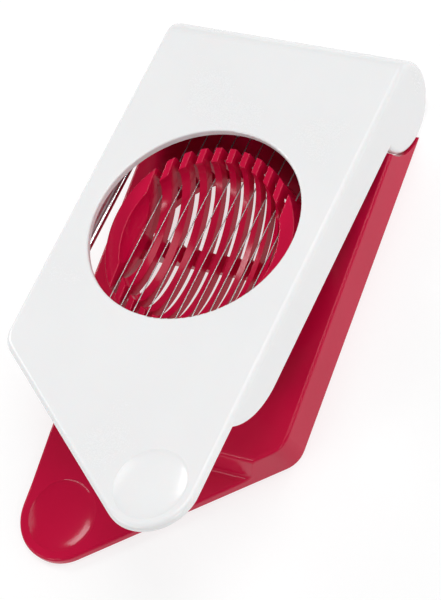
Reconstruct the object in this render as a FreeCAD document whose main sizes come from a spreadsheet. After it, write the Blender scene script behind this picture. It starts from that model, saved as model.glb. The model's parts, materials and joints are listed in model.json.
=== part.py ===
import FreeCAD, Part
import os
import Sketcher

# Egg slicer.  A moulded base has a raised egg cradle cut by ten slots, and a moulded lid swings on
# a steel rod at the back and carries ten cutting wires on a bent rod frame.  Millimetres.
# Frame: +X right, +Y towards the hinge, +Z up, origin on the table under the middle of the slicer.
# The lid side is drawn shut and its placement then turns it open about the hinge by rest_open.

DIMENSIONS = {
    # outline: a box whose front edge runs aslant, with a round corner and a round thumb tab
    "body_width": 85.0,
    "corner_back": -39.0,
    "corner_radius": 8.5,
    "tip_back": -103.4,
    "tab_radius": 15.2,
    "dimple_radius": 11.6,
    "dimple_depth": 1.4,
    "dimple_back": -73.4,
    "dimple_side": 27.5,
    # heights and walls
    "shut_height": 27.0,
    "deck_height": 13.0,
    "plate_thick": 2.2,
    "wall_thick": 2.4,
    "shut_gap": 0.3,
    "base_round": 1.0,
    "lid_round": 1.8,
    "roll_round": 6.0,
    # hinge
    "hinge_back": 74.0,
    "hinge_height": 14.6,
    "boss_radius": 14.4,
    "boss_width": 6.7,
    "boss_clear": 0.5,
    "barrel_radius": 8.0,
    "side_gap": 0.5,
    "hub_radius": 4.5,
    "rod_radius": 2.0,
    "rod_reach": 39.0,
    "rod_chamfer": 0.4,
    "running_gap": 0.05,
    "rear_lip": 5.5,
    "rest_open": 10.3,
    # ramp from the deck down to the thumb tab of the base
    "ramp_top": -45.2,
    "ramp_foot": -47.9,
    "ramp_foot_height": 3.8,
    "ramp_end": -66.0,
    "tab_thick": 2.8,
    "ramp_round": 2.2,
    "foot_round": 2.0,
    "end_round": 30.0,
    "deck_corner_front": -49.4,
    "deck_corner_radius": 13.4,
    "hollow_front": -43.6,
    "hollow_corner_radius": 7.6,
    # front end of the lid skirt
    "skirt_corner": -40.6,
    "skirt_front": -48.8,
    "skirt_round": 27.0,
    # egg opening and cradle
    "cradle_back": 13.4,
    "opening_radius": 34.15,
    "ring_outer": 31.3,
    "ring_open": 28.9,
    "ring_height": 31.0,
    "ring_cap": 4.0,
    "bowl_radius": 26.4,
    "bowl_depth": 14.5,
    "shell_thick": 3.0,
    "spine_width": 5.6,
    "slot_pitch": 4.94,
    "slot_width": 2.7,
    "slot_bottom": 13.3,
    "rib_round": 0.35,
    "opening_round": 0.6,
    # cutting wires, their rod frame and the moulded clips that hold it
    "wire_radius": 0.2,
    "wire_height": 15.6,
    "loop_gap": 0.02,
    "loop_turn": 300.0,
    "frame_radius": 1.2,
    "frame_side": 37.2,
    "frame_front": -27.0,
    "frame_rear": 59.5,
    "frame_bend": 6.0,
    "ferrule_radius": 0.8,
    "ferrule_length": 4.0,
    "ferrule_offset": 2.6,
    "clip_thick": 4.4,
    "clip_width": 5.0,
}
WIRE_COUNT = 10
CLIP_BACKS = (-12.0, 44.0)
POST_SIDES = (-27.0, 27.0)
FAR = "200"

REFERENCES = {name: f"dims.{name}" for name in DIMENSIONS}
# Lengths that follow from the driving dimensions.
DERIVED = {
    "half_width": "({body_width} / 2)",
    "half_inside": "({body_width} / 2 - {wall_thick})",
    "slope": "(({tip_back} - {corner_back}) / {body_width})",
    "deck_under": "({deck_height} - {wall_thick})",
    "plate_under": "({shut_height} - {plate_thick})",
    "skirt_bottom": "({deck_height} + {shut_gap})",
    "loop_radius": "({frame_radius} + {loop_gap} + {wire_radius})",
}
for name, text in DERIVED.items():
    REFERENCES[name] = text.format_map(REFERENCES)
REFERENCES["slant_inset"] = "({wall_thick} * sqrt(1 + {slope}^2))".format_map(REFERENCES)
REFERENCES["frame_height"] = "({wire_height} + {loop_radius})".format_map(REFERENCES)

ALONG_X = FreeCAD.Rotation(FreeCAD.Vector(0, 1, 0), 90)
ALONG_Y = FreeCAD.Rotation(FreeCAD.Vector(1, 0, 0), -90)
HALF_TURN = FreeCAD.Rotation(FreeCAD.Vector(0, 0, 1), 180)

doc = FreeCAD.newDocument("egg_slicer")
sheet = doc.addObject("Spreadsheet::Sheet", "dims")
for row, (name, number) in enumerate(DIMENSIONS.items(), start=1):
    sheet.set(f"A{row}", name)
    sheet.set(f"B{row}", str(number))
    sheet.setAlias(f"B{row}", name)
doc.recompute()


def formula(text):
    """Expression for the document: each {name} becomes a reference to the sheet."""
    return str(text).format_map(REFERENCES)


def value(text):
    """The number that a formula gives now."""
    return float(sheet.evalExpression(formula(text)))


def bind(item, **sizes):
    """Bind properties of an object to formulas."""
    for name, text in sizes.items():
        item.setExpression(name, formula(text))


def new_body(name):
    """A sub-part: a body whose label names its file."""
    body = doc.addObject("PartDesign::Body", name)
    body.Label = name
    return body


def solid(body, kind, name, at, turn=None, **sizes):
    """A primitive added to or taken from a body, placed at a point given by three formulas."""
    item = body.newObject(f"PartDesign::{kind}", name)
    if turn is not None:
        item.Placement = FreeCAD.Placement(FreeCAD.Vector(), turn)
    for axis, text in zip("xyz", at):
        item.setExpression(f".Placement.Base.{axis}", formula(text))
    bind(item, **sizes)
    return item


def datum(body, role):
    """One of the body's own origin planes or axes."""
    return next(item for item in body.Origin.OriginFeatures if item.Role == role)


def new_sketch(body, name, role, height="0"):
    """An empty sketch on an origin plane, or parallel to it at a height given by a formula."""
    sketch = body.newObject("Sketcher::SketchObject", name)
    sketch.AttachmentSupport = [(datum(body, role), "")]
    sketch.MapMode = "FlatFace"
    sketch.setExpression(".AttachmentOffset.Base.z", formula(height))
    return sketch


def drive(sketch, kind, geometry, point, text):
    """A dimension of a sketch, bound to a formula."""
    arguments = [geometry] if point is None else [geometry, point]
    index = sketch.addConstraint(Sketcher.Constraint(kind, *arguments, value(text)))
    sketch.setExpression(f"Constraints[{index}]", formula(text))


def corner_trims(spots, radii):
    """Where each corner's arc starts and ends, and the unit directions back and on from it."""
    trims = []
    for index, spot in enumerate(spots):
        back = (spots[index - 1] - spot).normalize()
        on = (spots[(index + 1) % len(spots)] - spot).normalize()
        reach = radii[index] * (back + on).Length / (back - on).Length
        trims.append((spot + back * reach, spot + on * reach, back, on))
    return trims


def corner_arc(spot, trim, radius):
    """Arc that rounds one corner."""
    start, end, back, on = trim
    inward = (back + on).normalize()
    from_spot = ((start - spot).Length ** 2 + radius ** 2) ** 0.5 - radius
    return Part.Arc(start, spot + inward * from_spot, end)


def rounded_outline(sketch, corners):
    """Closed outline through corners (across, up, radius), where radius None leaves one sharp."""
    spots = [FreeCAD.Vector(value(across), value(up), 0) for across, up, _ in corners]
    radii = [0 if radius is None else value(radius) for _, _, radius in corners]
    trims = corner_trims(spots, radii)
    lines = []
    for index in range(len(corners)):
        run = Part.LineSegment(trims[index][1], trims[(index + 1) % len(corners)][0])
        lines.append(sketch.addGeometry(run, False))
    for index, (across, up, radius) in enumerate(corners):
        spot = sketch.addGeometry(Part.Point(spots[index]), True)
        drive(sketch, "DistanceX", spot, 1, across)
        drive(sketch, "DistanceY", spot, 1, up)
        arriving = lines[index - 1]
        leaving = lines[index]
        if radius is None:
            sketch.addConstraint(Sketcher.Constraint("Coincident", arriving, 2, spot, 1))
            sketch.addConstraint(Sketcher.Constraint("Coincident", leaving, 1, spot, 1))
            continue
        arc = sketch.addGeometry(corner_arc(spots[index], trims[index], radii[index]), False)
        turns_right = trims[index][2].cross(trims[index][3]).z > 0
        first, last = (2, 1) if turns_right else (1, 2)
        sketch.addConstraint(Sketcher.Constraint("Tangent", arriving, 2, arc, first))
        sketch.addConstraint(Sketcher.Constraint("Tangent", leaving, 1, arc, last))
        drive(sketch, "Radius", arc, None, radius)
        sketch.addConstraint(Sketcher.Constraint("PointOnObject", spot, 1, arriving))
        sketch.addConstraint(Sketcher.Constraint("PointOnObject", spot, 1, leaving))


def extrude(body, kind, sketch, name, **sizes):
    """Pad or Pocket of a sketch."""
    item = body.newObject(f"PartDesign::{kind}", name)
    item.Profile = sketch
    bind(item, **sizes)
    sketch.Visibility = False
    return item


def round_edges(body, name, test, radius):
    """Fillet of the edges of the body's last feature that pass a test."""
    doc.recompute()
    last = body.Tip
    shape = last.Shape
    chosen = [f"Edge{i}" for i, edge in enumerate(shape.Edges, start=1) if test(shape, edge)]
    item = body.newObject("PartDesign::Fillet", name)
    item.Base = (last, chosen)
    bind(item, Radius=radius)
    return item


def is_upright(face):
    """Whether a face stands upright at its middle."""
    low_u, high_u, low_v, high_v = face.ParameterRange
    return abs(face.normalAt((low_u + high_u) / 2, (low_v + high_v) / 2).z) < 0.001


def is_top_rim(shape, edge):
    """Whether an edge is part of the moulding's upper outer rim."""
    box = edge.BoundBox
    if box.ZMax < 1 or box.YMin > value("{hinge_back}") - 6:
        return False
    uprights = [face for face in shape.ancestorsOfType(edge, Part.Face) if is_upright(face)]
    return len(uprights) == 1


def is_plate_rim(shape, edge):
    """Whether an edge is part of the upper rim of the lid's plate."""
    return edge.BoundBox.ZMin > value("{shut_height}") - 0.001 and is_top_rim(shape, edge)


def is_plate_back(shape, edge):
    """Whether an edge is the straight one where the plate meets the roll behind it."""
    box = edge.BoundBox
    return box.ZMin > value("{shut_height}") - 0.001 and box.YMin > value("{hinge_back}") + 1


def is_ring_top(shape, edge):
    """Whether an edge bounds the flat top of the cradle's ring."""
    box = edge.BoundBox
    return min(box.ZMin, box.ZMax) > value("{ring_height}") - 0.001


def is_opening_top(shape, edge):
    """Whether an edge is the upper rim of the egg opening."""
    return (isinstance(edge.Curve, Part.Circle) and edge.BoundBox.ZMin > value("{plate_under}") + 0.1
            and abs(edge.Curve.Radius - value("{opening_radius}")) < 0.001)


def plan_corners(side):
    """Plan outline with the thumb tab on the +X side (side 1) or on the -X side (side -1)."""
    return [
        (f"{side} * {{half_width}}", "{tip_back}", "{tab_radius}"),
        (f"{side} * {{half_width}}", "{hinge_back}", None),
        (f"{-side} * {{half_width}}", "{hinge_back}", None),
        (f"{-side} * {{half_width}}", "{corner_back}", "{corner_radius}"),
    ]


def slanted_wall(side, from_corner):
    """Point inside the slanted wall, at a distance from the side that has no tab."""
    across = f"{side} * ({from_corner} - {{half_width}})"
    up = f"{{corner_back}} + {{slope}} * {from_corner} + {{slant_inset}}"
    return across, up


def thumb_dimple(body, side, level):
    """Shallow dish for the thumb, steepest at its rim."""
    lift = "({dimple_depth} * 0.36)"
    depth = f"({{dimple_depth}} + {lift})"
    across = f"({{dimple_radius}} / sqrt(1 - ({lift} / {depth})^2))"
    at = (f"{side} * {{dimple_side}}", "{dimple_back}", f"{level} + {lift}")
    solid(body, "SubtractiveEllipsoid", "thumb_dimple", at,
          Radius1=depth, Radius2=across, Radius3=across)


def make_base():
    """Red moulding: deck and walls, ramp and tab, hinge barrel and slotted cradle."""
    body = new_body("base")
    tab_side = -1
    plan = new_sketch(body, "base_plan", "XY_Plane")
    rounded_outline(plan, plan_corners(tab_side))
    extrude(body, "Pad", plan, "base_blank", Length="{deck_height} + {wall_thick}")
    trim_above_ramp(body)
    round_deck_corner(body, tab_side)
    round_edges(body, "base_rim_round", is_top_rim, "{base_round}")
    hollow_base(body, tab_side)
    add_barrel(body)
    add_cradle(body)
    thumb_dimple(body, tab_side, "{tab_thick}")
    return body


def trim_above_ramp(body):
    """Cut the blank down to the deck, the steep ramp and the flat thumb tab."""
    profile = new_sketch(body, "ramp_profile", "YZ_Plane")
    rounded_outline(profile, [
        (FAR, "{deck_height}", None),
        (FAR, FAR, None),
        ("-" + FAR, FAR, None),
        ("-" + FAR, "{tab_thick}", None),
        ("{ramp_end}", "{tab_thick}", "{end_round}"),
        ("{ramp_foot}", "{ramp_foot_height}", "{foot_round}"),
        ("{ramp_top}", "{deck_height}", "{ramp_round}"),
    ])
    cut = extrude(body, "Pocket", profile, "ramp_cut", Length=FAR)
    cut.SideType = "Symmetric"


def round_deck_corner(body, tab_side):
    """Round the deck's front corner above the thumb tab."""
    middle = f"{tab_side} * ({{half_width}} - {{deck_corner_radius}} - 1)"
    back = "({deck_corner_front} + {deck_corner_radius} + 1)"
    corner = new_sketch(body, "deck_corner", "XY_Plane", "{ramp_foot_height}")
    rounded_outline(corner, [
        (f"{tab_side} * {{half_width}}", "{deck_corner_front}", "{deck_corner_radius}"),
        (middle, "{deck_corner_front}", None),
        (middle, "-" + FAR, None),
        (f"{tab_side} * {FAR}", "-" + FAR, None),
        (f"{tab_side} * {FAR}", back, None),
        (f"{tab_side} * {{half_width}}", back, None),
    ])
    cut = extrude(body, "Pocket", corner, "deck_corner_cut", Length=FAR)
    cut.Reversed = True


def hollow_base(body, tab_side):
    """Open the base from below, leave a back wall, and make room for the lid's bosses."""
    front = "{hollow_front}"
    reach = f"(({front} - {{slant_inset}} - {{corner_back}}) / {{slope}})"
    inside = new_sketch(body, "base_inside", "XY_Plane")
    rounded_outline(inside, [
        (f"{tab_side} * {{half_inside}}", front, "{hollow_corner_radius}"),
        (f"{tab_side} * {{half_inside}}", "{hinge_back}", None),
        (f"{-tab_side} * {{half_inside}}", "{hinge_back}", None),
        (*slanted_wall(tab_side, "{wall_thick}"), "{corner_radius} - {wall_thick}"),
        (*slanted_wall(tab_side, reach), "{base_round}"),
    ])
    hollow = extrude(body, "Pocket", inside, "base_hollow", Length="{deck_under}")
    hollow.Reversed = True
    clear = "({boss_radius} + {boss_clear})"
    wall_back = f"({{hinge_back}} - {clear} - {{wall_thick}})"
    solid(body, "AdditiveBox", "back_wall", ("-{half_width} + 1", wall_back, "0"),
          Length="2 * {half_width} - 2", Width="{wall_thick}", Height="{deck_height} - 1")
    inner = "({half_width} - {boss_width} - {side_gap})"
    for name, start in (("left", "-{half_width} - 1"), ("right", inner)):
        solid(body, "SubtractiveCylinder", f"boss_room_{name}",
              (start, "{hinge_back}", "{hinge_height}"), ALONG_X,
              Radius=clear, Height=f"{{half_width}} + 1 - {inner}")


def add_barrel(body):
    """Hinge barrel between the lid's bosses, bored for the rod."""
    inner = "({half_width} - {boss_width} - {side_gap})"
    at = (f"-{inner}", "{hinge_back}", "{hinge_height}")
    solid(body, "SubtractiveBox", "behind_barrel", ("-" + FAR, "{hinge_back}", "-1"),
          Length=f"2 * {FAR}", Width=FAR, Height=FAR)
    solid(body, "AdditiveCylinder", "barrel", at, ALONG_X,
          Radius="{barrel_radius}", Height=f"2 * {inner}")
    solid(body, "SubtractiveCylinder", "barrel_bore", at, ALONG_X,
          Radius="{rod_radius}", Height=f"2 * {inner}")


def add_cradle(body):
    """Ring with a bowl-shaped shell and a cross spine, cut into ribs by the wire slots."""
    solid(body, "AdditiveCylinder", "ring", ("0", "{cradle_back}", "{deck_under}"),
          Radius="{ring_outer}", Height="{ring_height} - {deck_under}")
    solid(body, "SubtractiveCylinder", "ring_open", ("0", "{cradle_back}", "-1"),
          Radius="{ring_open}", Height="{ring_height} - {ring_cap} + 1")
    spine_at = ("-{ring_open} - 1", "{cradle_back} - {spine_width} / 2", "{deck_under}")
    solid(body, "AdditiveBox", "spine", spine_at, Length="2 * {ring_open} + 2",
          Width="{spine_width}", Height="{ring_height} - {ring_cap} + 1 - {deck_under}")
    centre = ("0", "{cradle_back}", "{ring_height}")
    solid(body, "AdditiveEllipsoid", "bowl_outside", centre,
          Radius1="{bowl_depth} + {shell_thick}", Radius2="{bowl_radius} + {shell_thick}",
          Radius3="{bowl_radius} + {shell_thick}", Angle2="0")
    solid(body, "SubtractiveEllipsoid", "bowl_inside", centre,
          Radius1="{bowl_depth}", Radius2="{bowl_radius}", Radius3="{bowl_radius}")
    first = f"(-{WIRE_COUNT - 1} / 2 * {{slot_pitch}} - {{slot_width}} / 2)"
    slot = solid(body, "SubtractiveBox", "wire_slot",
                 (first, "{cradle_back} - {ring_outer} - 1", "{slot_bottom}"),
                 Length="{slot_width}", Width="2 * {ring_outer} + 2", Height="{ring_height}")
    slots = body.newObject("PartDesign::LinearPattern", "wire_slots")
    slots.Originals = [slot]
    slots.Direction = (datum(body, "X_Axis"), [""])
    slots.Occurrences = WIRE_COUNT
    bind(slots, Length=f"{WIRE_COUNT - 1} * {{slot_pitch}}")
    body.Tip = slots
    round_edges(body, "rib_rounds", is_ring_top, "{rib_round}")


def make_lid():
    """White moulding: top plate with the egg opening, skirt, bosses, rear roll and wire clips."""
    body = new_body("lid")
    tab_side = 1
    start = "({deck_height} / 2)"
    plan = new_sketch(body, "lid_plan", "XY_Plane", start)
    rounded_outline(plan, plan_corners(tab_side))
    extrude(body, "Pad", plan, "lid_blank", Length=f"{{shut_height}} - {start}")
    trim_below_skirt(body)
    solid(body, "AdditiveCylinder", "rear_roll",
          ("-{half_width}", "{hinge_back}", "{hinge_height}"), ALONG_X,
          Radius="{boss_radius}", Height="{body_width}")
    solid(body, "SubtractiveBox", "above_plate", ("-" + FAR, "0", "{shut_height}"),
          Length=f"2 * {FAR}", Width=FAR, Height=FAR)
    round_edges(body, "roll_edge_round", is_plate_back, "{roll_round}")
    round_edges(body, "lid_rim_round", is_plate_rim, "{lid_round}")
    hollow_lid(body, tab_side)
    add_hubs(body)
    add_clips(body)
    solid(body, "SubtractiveCylinder", "egg_opening", ("0", "{cradle_back}", "{plate_under} - 1"),
          Radius="{opening_radius}", Height="{plate_thick} + 2")
    round_edges(body, "opening_round", is_opening_top, "{opening_round}")
    thumb_dimple(body, tab_side, "{shut_height}")
    return body


def trim_below_skirt(body):
    """Cut away everything below the skirt's edge and below the plate at the thumb tab."""
    profile = new_sketch(body, "skirt_profile", "YZ_Plane")
    rounded_outline(profile, [
        (FAR, "{skirt_bottom}", None),
        ("{skirt_corner}", "{skirt_bottom}", "{skirt_round}"),
        ("{skirt_front}", "{plate_under}", None),
        ("-" + FAR, "{plate_under}", None),
        ("-" + FAR, "0", None),
        (FAR, "0", None),
    ])
    cut = extrude(body, "Pocket", profile, "skirt_cut", Length=FAR)
    cut.SideType = "Symmetric"


def hollow_lid(body, tab_side):
    """Open the lid from below and hollow the roll at its back."""
    inside = new_sketch(body, "lid_inside", "XY_Plane")
    back = "({hinge_back} - 5)"
    rounded_outline(inside, [
        (*slanted_wall(tab_side, "{body_width} - {wall_thick}"), "{tab_radius} - {wall_thick}"),
        (f"{tab_side} * {{half_inside}}", back, None),
        (f"{-tab_side} * {{half_inside}}", back, None),
        (*slanted_wall(tab_side, "{wall_thick}"), "{corner_radius} - {wall_thick}"),
    ])
    hollow = extrude(body, "Pocket", inside, "lid_hollow", Length="{plate_under}")
    hollow.Reversed = True
    reach = "({boss_radius} - {plate_thick})"
    behind = f"({{hinge_back}} + {reach})"
    roll = new_sketch(body, "roll_inside", "YZ_Plane")
    rounded_outline(roll, [
        (f"{back} - 5", "{plate_under}", None),
        (f"{back} - 5", f"{{hinge_height}} - {reach}", None),
        (behind, f"{{hinge_height}} - {reach}", f"{reach} - 0.01"),
        (behind, "{plate_under}", "{roll_round}"),
    ])
    room = extrude(body, "Pocket", roll, "roll_hollow", Length="2 * {half_inside}")
    room.SideType = "Symmetric"
    solid(body, "SubtractiveBox", "roll_lip", ("-{half_inside}", f"{back} - 10", "-1"),
          Length="2 * {half_inside}", Width="{boss_radius} + 20", Height="{rear_lip} + 1")


def add_hubs(body):
    """Hubs inside both bosses, with blind holes for the rod."""
    inner = "({half_width} - {boss_width})"
    for name, start in (("left", "-{half_inside} - 0.5"), ("right", inner)):
        solid(body, "AdditiveCylinder", f"hub_{name}",
              (start, "{hinge_back}", "{hinge_height}"), ALONG_X,
              Radius="{hub_radius}", Height=f"{{half_inside}} + 0.5 - {inner}")
    depth = "({rod_reach} + {shut_gap})"
    solid(body, "SubtractiveCylinder", "rod_hole", (f"-{depth}", "{hinge_back}", "{hinge_height}"),
          ALONG_X, Radius="{rod_radius} + {running_gap}", Height=f"2 * {depth}")


def add_clips(body):
    """Blocks that hang from the plate and hold the rod frame, bored where the rod runs through."""
    low = "({frame_height} - {frame_radius} - 1)"
    height = f"{{plate_under}} + 0.5 - {low}"
    for back in CLIP_BACKS:
        for side in (-1, 1):
            solid(body, "AdditiveBox", "side_clip",
                  (f"{side} * {{frame_side}} - {{clip_width}} / 2",
                   f"{back} - {{clip_thick}} / 2", low),
                  Length="{clip_width}", Width="{clip_thick}", Height=height)
    for side in POST_SIDES:
        for rail in ("{frame_front}", "{frame_rear}"):
            solid(body, "AdditiveBox", "end_post",
                  (f"{side} - {{clip_thick}} / 2", f"{rail} - {{clip_width}} / 2", low),
                  Length="{clip_thick}", Width="{clip_width}", Height=height)
    for side in (-1, 1):
        solid(body, "SubtractiveCylinder", "side_rail_bore",
              (f"{side} * {{frame_side}}", "{frame_front} + {frame_bend}", "{frame_height}"),
              ALONG_Y, Radius="{frame_radius}",
              Height="{frame_rear} - {frame_front} - 2 * {frame_bend}")
    for rail in ("{frame_front}", "{frame_rear}"):
        solid(body, "SubtractiveCylinder", "end_rail_bore",
              ("-{frame_side} + {frame_bend}", rail, "{frame_height}"), ALONG_X,
              Radius="{frame_radius}", Height="2 * ({frame_side} - {frame_bend})")


def make_wire_frame():
    """Steel rod bent to a closed rectangle that the cutting wires are strung on."""
    body = new_body("wire_frame")
    path = new_sketch(body, "frame_path", "XY_Plane", "{frame_height}")
    rounded_outline(path, [
        ("{frame_side}", "{frame_front}", "{frame_bend}"),
        ("{frame_side}", "{frame_rear}", "{frame_bend}"),
        ("-{frame_side}", "{frame_rear}", "{frame_bend}"),
        ("-{frame_side}", "{frame_front}", "{frame_bend}"),
    ])
    section = new_sketch(body, "frame_section", "YZ_Plane")
    circle = section.addGeometry(Part.Circle(FreeCAD.Vector(value("{frame_front}"),
                                                            value("{frame_height}"), 0),
                                             FreeCAD.Vector(0, 0, 1), value("{frame_radius}")))
    drive(section, "DistanceX", circle, 3, "{frame_front}")
    drive(section, "DistanceY", circle, 3, "{frame_height}")
    drive(section, "Radius", circle, None, "{frame_radius}")
    rod = body.newObject("PartDesign::AdditivePipe", "frame_rod")
    rod.Profile = section
    rod.Spine = path
    return body


def make_hinge_rod():
    """Straight steel rod through the barrel, with chamfered ends in the lid's hubs."""
    body = new_body("hinge_rod")
    solid(body, "AdditiveCylinder", "rod", ("-{rod_reach}", "{hinge_back}", "{hinge_height}"),
          ALONG_X, Radius="{rod_radius}", Height="2 * {rod_reach}")
    doc.recompute()
    ends = [f"Edge{i}" for i, edge in enumerate(body.Shape.Edges, start=1)
            if isinstance(edge.Curve, Part.Circle)]
    chamfer = body.newObject("PartDesign::Chamfer", "rod_ends")
    chamfer.Base = (body.Group[0], ends)
    bind(chamfer, Size="{rod_chamfer}")
    return body


def wire_place(number):
    """Distance across of one wire, counted from 1 at the left."""
    return f"(({number} - ({WIRE_COUNT} + 1) / 2) * {{slot_pitch}})"


def make_cutting_wire(number):
    """Straight wire under the frame, with an open loop round the rod at each end."""
    body = new_body(f"cutting_wire_{number:02d}")
    across = wire_place(number)
    solid(body, "AdditiveCylinder", "span", (across, "{frame_front}", "{wire_height}"), ALONG_Y,
          Radius="{wire_radius}", Height="{frame_rear} - {frame_front}")
    for rail, turn in (("{frame_front}", HALF_TURN * ALONG_X), ("{frame_rear}", ALONG_X)):
        solid(body, "AdditiveTorus", "loop", (across, rail, "{frame_height}"), turn,
              Radius1="{loop_radius}", Radius2="{wire_radius}", Angle3="{loop_turn}")
    return body


def make_ferrule(number, name, start):
    """Crimped sleeve that closes one loop of a wire."""
    body = new_body(f"{name}_ferrule_{number:02d}")
    at = (wire_place(number), start, "{wire_height}")
    solid(body, "AdditiveCylinder", "sleeve", at, ALONG_Y,
          Radius="{ferrule_radius}", Height="{ferrule_length}")
    solid(body, "SubtractiveCylinder", "sleeve_bore", at, ALONG_Y,
          Radius="{wire_radius}", Height="{ferrule_length}")
    return body


def make_strings():
    """The cutting wires with a ferrule at each end."""
    ends = (("front", "{frame_front} + {ferrule_offset}"),
            ("rear", "{frame_rear} - {ferrule_offset} - {ferrule_length}"))
    bodies = []
    for number in range(1, WIRE_COUNT + 1):
        bodies.append(make_cutting_wire(number))
        for name, start in ends:
            bodies.append(make_ferrule(number, name, start))
    return bodies


fixed_parts = [make_base(), make_hinge_rod()]
lid_parts = [make_lid(), make_wire_frame(), *make_strings()]
doc.recompute()

hinge = FreeCAD.Vector(0, value("{hinge_back}"), value("{hinge_height}"))
swing = FreeCAD.Rotation(FreeCAD.Vector(-1, 0, 0), value("{rest_open}"))
for body in lid_parts:
    body.Placement = FreeCAD.Placement(FreeCAD.Vector(), swing, hinge)
doc.recompute()

parts = fixed_parts + lid_parts
for item in doc.Objects:
    if {"Invalid", "Error"} & set(item.State):
        raise RuntimeError(f"{item.Name} did not compute: {item.State}")
for body in parts:
    if body.Shape.isNull() or not body.Shape.isValid() or len(body.Shape.Solids) != 1:
        raise RuntimeError(f"{body.Label} is not one valid solid")

os.makedirs("parts", exist_ok=True)
for body in parts:
    body.Shape.exportStep(f"parts/{body.Label}.step")
    print(body.Label, round(body.Shape.Volume, 1))
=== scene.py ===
import json
import math

import bpy
from mathutils import Matrix, Vector


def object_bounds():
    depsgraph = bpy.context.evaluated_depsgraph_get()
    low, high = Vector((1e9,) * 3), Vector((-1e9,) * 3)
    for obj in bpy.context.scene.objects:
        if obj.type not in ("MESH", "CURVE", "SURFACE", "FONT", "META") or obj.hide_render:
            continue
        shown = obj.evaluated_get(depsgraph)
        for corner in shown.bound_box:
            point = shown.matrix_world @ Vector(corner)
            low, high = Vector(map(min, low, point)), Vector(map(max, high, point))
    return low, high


# Looks of the egg slicer: glossy moulded plastic, drawn steel, a pale floor and soft light.
# Lengths are in metres, in the frame of the CAD model: +Z up, the thumb tabs towards -Y.

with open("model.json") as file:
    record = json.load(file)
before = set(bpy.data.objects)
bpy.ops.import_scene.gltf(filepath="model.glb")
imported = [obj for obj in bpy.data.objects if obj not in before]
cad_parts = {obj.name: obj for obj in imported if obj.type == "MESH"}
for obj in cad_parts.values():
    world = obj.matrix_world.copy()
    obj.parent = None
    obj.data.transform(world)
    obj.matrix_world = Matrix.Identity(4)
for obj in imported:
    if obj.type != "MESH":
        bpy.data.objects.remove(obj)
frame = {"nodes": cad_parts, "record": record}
cad_low, cad_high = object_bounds()

# The camera's angles are in degrees, and its lens is in millimetres.
CAMERA_AZIMUTH = 62.24
CAMERA_ELEVATION = 56.39
CAMERA_ROLL = 45.58
CAMERA_DISTANCE = 1.0
CAMERA_TARGET = Vector((-0.0008, 0.0033, 0.0069))
CAMERA_LENS = 194.3
CAMERA_SHIFT = (0.0073, 0.0018)
CAMERA_CLIP = (0.01, 20)

# The plastics and steels, by the names of the record's material slots.
PLASTICS = {
    "red_plastic": {
        "colour": (0.57, 0.004, 0.048),
        "shade": (0.51, 0.003, 0.040),
        "rough": 0.16,
        "subsurface": 0.02,
        "gloss": 0.2,
    },
    "white_plastic": {
        "colour": (0.87, 0.875, 0.88),
        "shade": (0.85, 0.855, 0.86),
        "rough": 0.24,
        "subsurface": 0.15,
        "gloss": 0.5,
    },
}
EVEN = (1, 1, 1)
STREAKS_ALONG_Y = (1, 0.03, 1)
FLOW_ALONG_Y = (1, 0.18, 1)
STEELS = {
    "wire_steel": {
        "bright": (0.46, 0.45, 0.45),
        "dark": (0.30, 0.29, 0.29),
        "rough": 0.25,
        "grain": 5000,
        "stretch": STREAKS_ALONG_Y,
    },
    "rod_steel": {
        "bright": (0.80, 0.80, 0.81),
        "dark": (0.60, 0.60, 0.62),
        "rough": 0.18,
        "grain": 2500,
        "stretch": EVEN,
    },
    "ferrule_steel": {
        "bright": (0.66, 0.66, 0.67),
        "dark": (0.42, 0.42, 0.43),
        "rough": 0.3,
        "grain": 4000,
        "stretch": STREAKS_ALONG_Y,
    },
}

# Noise scales, in cells per metre.
CLOUD_SCALE = 28
FLOW_SCALE = 60
PEEL_SCALE = 420
GRAIN_SCALE = 2600
PATCH_SCALE = 140
PAPER_SCALE = 3

# How strongly each texture shows, and how deep the bumps are.
FLOW_DISTORTION = 0.6
FLOW_AMOUNT = 0.35
GRAIN_ROUGHNESS = 0.02
PEEL_DEPTH = 0.000008
STREAK_DEPTH = 0.00001
PLASTIC_IOR = 1.5
SUBSURFACE_DEPTH = 0.0015
SUBSURFACE_RADIUS = (1.0, 0.6, 0.5)

FLOOR_SIZE = 6
FLOOR_GAP = 0.0002
FLOOR_LIGHT_TONE = (0.31, 0.31, 0.31)
FLOOR_DARK_TONE = (0.29, 0.29, 0.29)
FLOOR_ROUGHNESS = 0.6
FLOOR_GLOW = 0.7

WHITE = (1, 1, 1, 1)
WORLD_STRENGTH = 0.22
# Each light's position, the point it looks at, its width and height, and its power in watts.
LIGHTS = {
    "key": ((0.3, 0.5, 1.1), (0, 0, 0), (0.9, 0.9), 8),
    "side": ((0.9, -0.43, 0.66), (0, 0, 0.01), (0.22, 0.22), 2.0),
    "edge": ((0.9, 0.4, 0.5), (0, 0, 0.01), (0.6, 0.08), 1.4),
    "left": ((-0.9, 0.29, 0.6), (0, 0, 0.01), (0.3, 0.3), 3),
    "strip": ((-0.5, -0.6, 0.55), (0, -0.03, 0.01), (0.8, 0.1), 2.4),
}

# The Mix node's colour sockets go by number, because its other sockets share their names.
MIX_FIRST = 6
MIX_SECOND = 7
MIX_RESULT = 2


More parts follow.
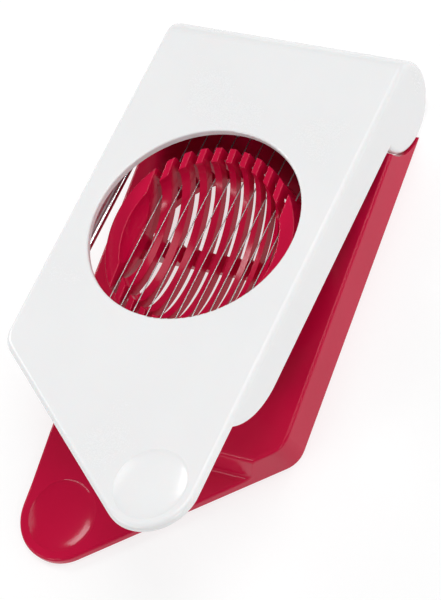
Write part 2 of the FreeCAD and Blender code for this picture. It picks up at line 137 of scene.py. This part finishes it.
def make_camera():
    """A long lens, high over the side and rolled so that the slicer stands on its corner."""
    azimuth = math.radians(CAMERA_AZIMUTH)
    elevation = math.radians(CAMERA_ELEVATION)
    roll = math.radians(CAMERA_ROLL)
    back = Vector((math.sin(azimuth) * math.cos(elevation),
                   -math.cos(azimuth) * math.cos(elevation), math.sin(elevation)))
    level_right = Vector((math.cos(azimuth), math.sin(azimuth), 0))
    level_up = back.cross(level_right)
    right = level_right * math.cos(roll) - level_up * math.sin(roll)
    up = back.cross(right)
    camera = bpy.data.objects.new("camera", bpy.data.cameras.new("camera"))
    bpy.context.collection.objects.link(camera)
    turn = Matrix((right, up, back)).transposed().to_4x4()
    camera.matrix_world = Matrix.Translation(CAMERA_TARGET + back * CAMERA_DISTANCE) @ turn
    camera.data.lens = CAMERA_LENS
    camera.data.shift_x, camera.data.shift_y = CAMERA_SHIFT
    camera.data.clip_start, camera.data.clip_end = CAMERA_CLIP
    bpy.context.scene.camera = camera


class Nodes:
    """Short way to write a material's node tree."""

    def __init__(self, name):
        self.material = bpy.data.materials.new(name)
        self.material.use_nodes = True
        self.tree = self.material.node_tree
        self.shader = self.tree.nodes["Principled BSDF"]

    def give(self, socket, given):
        """Sets a socket to a number or a colour, or links another node's output to it."""
        if isinstance(given, bpy.types.NodeSocket):
            self.tree.links.new(given, socket)
        else:
            socket.default_value = given

    def fill(self, node, inputs):
        """Gives a node its inputs by name; an underscore stands for a space."""
        for name, given in inputs.items():
            self.give(node.inputs[name.replace("_", " ")], given)

    def add(self, kind, **inputs):
        node = self.tree.nodes.new(f"ShaderNode{kind}")
        self.fill(node, inputs)
        return node

    def noise(self, scale, detail=3.0, roughness=0.5, stretch=EVEN, distortion=0.0):
        """Noise over the part; a scale below 1 in stretch draws it out along that axis."""
        spot = self.add("TexCoord").outputs["Object"]
        place = self.add("Mapping", Vector=spot, Scale=stretch).outputs["Vector"]
        node = self.add("TexNoise", Vector=place, Scale=scale, Detail=detail,
                        Roughness=roughness, Distortion=distortion)
        return node.outputs["Fac"]

    def spread(self, value, low, high, from_low=0.3, from_high=0.7):
        """Maps a noise value to a range."""
        node = self.add("MapRange", Value=value, From_Min=from_low, From_Max=from_high,
                        To_Min=low, To_Max=high)
        return node.outputs["Result"]

    def blend(self, factor, first, second):
        """Mixes two colours; each is three numbers or another node's output."""
        node = self.add("Mix")
        node.data_type = "RGBA"
        self.give(node.inputs["Factor"], factor)
        for number, given in ((MIX_FIRST, first), (MIX_SECOND, second)):
            colour = given if isinstance(given, bpy.types.NodeSocket) else (*given, 1)
            self.give(node.inputs[number], colour)
        return node.outputs[MIX_RESULT]

    def total(self, first, second):
        node = self.add("Math")
        node.operation = "ADD"
        self.give(node.inputs[0], first)
        self.give(node.inputs[1], second)
        return node.outputs["Value"]

    def bump(self, height, distance):
        node = self.add("Bump", Height=height, Distance=distance, Strength=1.0)
        return node.outputs["Normal"]

    def finish(self, **inputs):
        self.fill(self.shader, inputs)
        return self.material


def moulded_plastic(name, colour, shade, rough, subsurface, gloss):
    """Glossy injection-moulded plastic: orange peel, faint flow marks and a fine grain."""
    nodes = Nodes(name)
    clouds = nodes.noise(CLOUD_SCALE, detail=2)
    flow = nodes.noise(FLOW_SCALE, detail=4, stretch=FLOW_ALONG_Y, distortion=FLOW_DISTORTION)
    peel = nodes.noise(PEEL_SCALE, detail=2)
    grain = nodes.noise(GRAIN_SCALE, detail=2)
    base = nodes.blend(nodes.spread(clouds, 0, 1), colour, shade)
    marks = nodes.spread(flow, 0, FLOW_AMOUNT, from_low=0.45, from_high=0.75)
    base = nodes.blend(marks, base, shade)
    fine = nodes.spread(grain, 0, GRAIN_ROUGHNESS, from_low=0.4, from_high=0.8)
    broad = nodes.spread(clouds, rough - 0.02, rough + 0.03)
    return nodes.finish(
        Base_Color=base, Roughness=nodes.total(fine, broad), IOR=PLASTIC_IOR,
        Normal=nodes.bump(peel, PEEL_DEPTH), Specular_IOR_Level=gloss,
        Subsurface_Weight=subsurface, Subsurface_Scale=SUBSURFACE_DEPTH,
        Subsurface_Radius=SUBSURFACE_RADIUS)


def drawn_steel(name, bright, dark, rough, grain, stretch):
    """Stainless steel with a fine grain, drawn out to streaks by stretch, and dull patches."""
    nodes = Nodes(name)
    streaks = nodes.noise(grain, detail=6, roughness=0.7, stretch=stretch)
    patches = nodes.noise(PATCH_SCALE, detail=3)
    return nodes.finish(
        Base_Color=nodes.blend(nodes.spread(streaks, 0, 1), bright, dark), Metallic=1.0,
        Normal=nodes.bump(streaks, STREAK_DEPTH),
        Roughness=nodes.spread(patches, rough - 0.05, rough + 0.08))


def make_materials():
    """The materials, by the names of the record's slots."""
    plastics = {name: moulded_plastic(name, **look) for name, look in PLASTICS.items()}
    steels = {name: drawn_steel(name, **look) for name, look in STEELS.items()}
    return plastics | steels


def dress_cad_nodes(materials):
    """Every CAD node takes the material of its slot in the record."""
    for part in frame["record"]["subparts"]:
        slots = frame["nodes"][part["node"]].data.materials
        slots.clear()
        slots.append(materials[part["material_slot"]])


def make_floor():
    """A pale table that glows a little, so that it stays bright under the slicer."""
    bpy.ops.mesh.primitive_plane_add(size=FLOOR_SIZE, location=(0, 0, cad_low.z - FLOOR_GAP))
    floor = bpy.context.object
    floor.name = "floor"
    nodes = Nodes("floor_paper")
    tone = nodes.blend(nodes.spread(nodes.noise(PAPER_SCALE), 0, 1),
                       FLOOR_LIGHT_TONE, FLOOR_DARK_TONE)
    floor.data.materials.append(nodes.finish(
        Base_Color=tone, Roughness=FLOOR_ROUGHNESS, Emission_Color=WHITE,
        Emission_Strength=FLOOR_GLOW))


def area_light(name, spot, aim, size, power):
    """A soft box that looks at a point."""
    light = bpy.data.objects.new(name, bpy.data.lights.new(name, "AREA"))
    bpy.context.collection.objects.link(light)
    light.data.shape = "RECTANGLE"
    light.data.size, light.data.size_y = size
    light.data.energy = power
    light.location = spot
    light.rotation_mode = "QUATERNION"
    light.rotation_quaternion = (Vector(aim) - Vector(spot)).to_track_quat("-Z", "Y")


def make_lights():
    """Dim white surroundings, a large soft key above the hinge, and small and narrow boxes."""
    world = bpy.data.worlds.new("studio")
    bpy.context.scene.world = world
    world.use_nodes = True
    background = world.node_tree.nodes["Background"]
    background.inputs["Color"].default_value = WHITE
    background.inputs["Strength"].default_value = WORLD_STRENGTH
    for name, light in LIGHTS.items():
        area_light(name, *light)


make_camera()
dress_cad_nodes(make_materials())
make_floor()
make_lights()
bpy.context.scene.view_settings.view_transform = "Standard"
